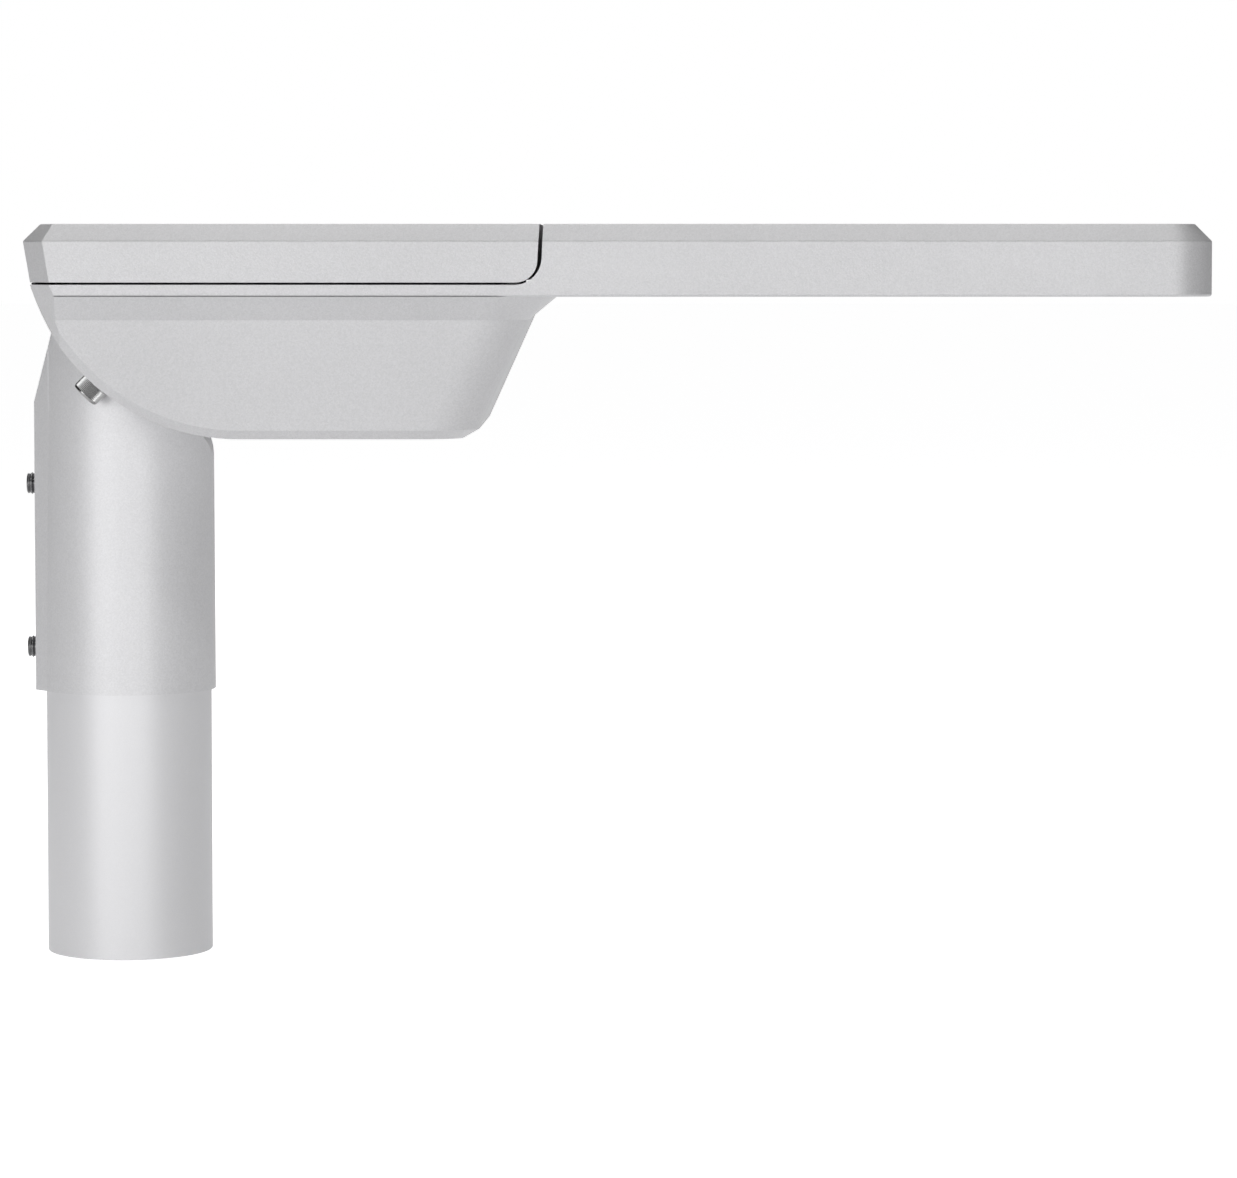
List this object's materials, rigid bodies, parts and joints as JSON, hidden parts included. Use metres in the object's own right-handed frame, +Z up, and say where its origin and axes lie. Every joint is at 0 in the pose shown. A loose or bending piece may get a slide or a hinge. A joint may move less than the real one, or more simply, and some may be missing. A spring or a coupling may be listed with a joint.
{
  "type": "post-top street lamp head on a pole stub",
  "caption": "Slim flat LED street lamp head with a hinged gear cover, on a tilting post-top adapter clamped to a round pole stub.",
  "frame": {"origin": "on the pole's axis at the stub's lower end", "axes": "+Z up along the pole, +X from the pole towards the end of the light arm, Y across the head"},
  "size_m": [0.533, 0.245, 0.335],
  "materials": {
    "silver_paint": "fine-textured silver-grey powder coat on die-cast aluminium",
    "pole_paint": "smooth satin light grey paint on steel",
    "stainless": "bright stainless",
    "dark_steel": "dark zinc-flake coated",
    "zinc_steel": "zinc plated sheet",
    "seal_rubber": "matte black silicone",
    "driver_case": "matte off-white",
    "gear_plastic": "matte dark grey",
    "terminal_plastic": "matte light grey",
    "brass_screw": "plain brass",
    "lead_sheath": "satin black silicone sheath",
    "board_white": "white solder mask on metal core",
    "led_phosphor": "yellow phosphor",
    "lens_clear": "clear acrylic",
    "window_glass": "flat clear toughened glass"
  },
  "bodies": {
    "pole": {"pole_tube": "pole_paint"},
    "adapter": {"spigot_adapter": "silver_paint", "set_screws": "dark_steel", "saddle_seal": "seal_rubber"},
    "head": {"housing": "silver_paint", "tilt_screws": "stainless", "tilt_washers": "stainless", "cover_gasket": "seal_rubber", "latch_catch": "stainless", "catch_screws": "stainless", "gear_tray": "zinc_steel", "tray_screws": "stainless", "led_driver": "driver_case", "driver_screws": "stainless", "surge_protector": "gear_plastic", "terminal_rail": "zinc_steel", "terminal_block": "terminal_plastic", "terminal_screws": "brass_screw", "cable_clamp": "gear_plastic", "clamp_screws": "stainless", "mains_lead": "lead_sheath", "led_lead": "lead_sheath", "lead_grommet": "seal_rubber", "entry_grommet": "seal_rubber", "earth_screw": "brass_screw", "breather_vent": "gear_plastic", "led_board": "board_white", "led_chips": "led_phosphor", "lens_arrays": "lens_clear", "board_connector": "terminal_plastic", "board_screws": "stainless", "glass_frame": "silver_paint", "window_glass": "window_glass", "glass_gasket": "seal_rubber", "frame_screws": "stainless"},
    "cover": {"top_cover": "silver_paint", "hinge_pins": "stainless", "latch_pin": "stainless", "latch_spring": "stainless"},
    "latch": {"latch_paddle": "silver_paint"}
  },
  "joints": [
    {"name": "pole_swivel", "type": "hinge", "parent": "pole", "child": "adapter", "pos_m": [0, 0, 0.2], "axis": [0, 0, 1], "continuous": true},
    {"name": "head_tilt", "type": "hinge", "parent": "adapter", "child": "head", "pos_m": [0.0595, 0, 0.3345], "axis": [0, -1, 0], "range_deg": [0, 15]},
    {"name": "cover_hinge", "type": "hinge", "parent": "head", "child": "cover", "pos_m": [0.1795, 0, 0.3294], "axis": [0, 1, 0], "range_deg": [0, 100]},
    {"name": "latch_pull", "type": "hinge", "parent": "cover", "child": "latch", "pos_m": [-0.0266, 0, 0.3216], "axis": [0, 1, 0], "range_deg": [0, 6], "stiffness_Nm_per_rad": 0.2, "springref_deg": -20.05}
  ]
}
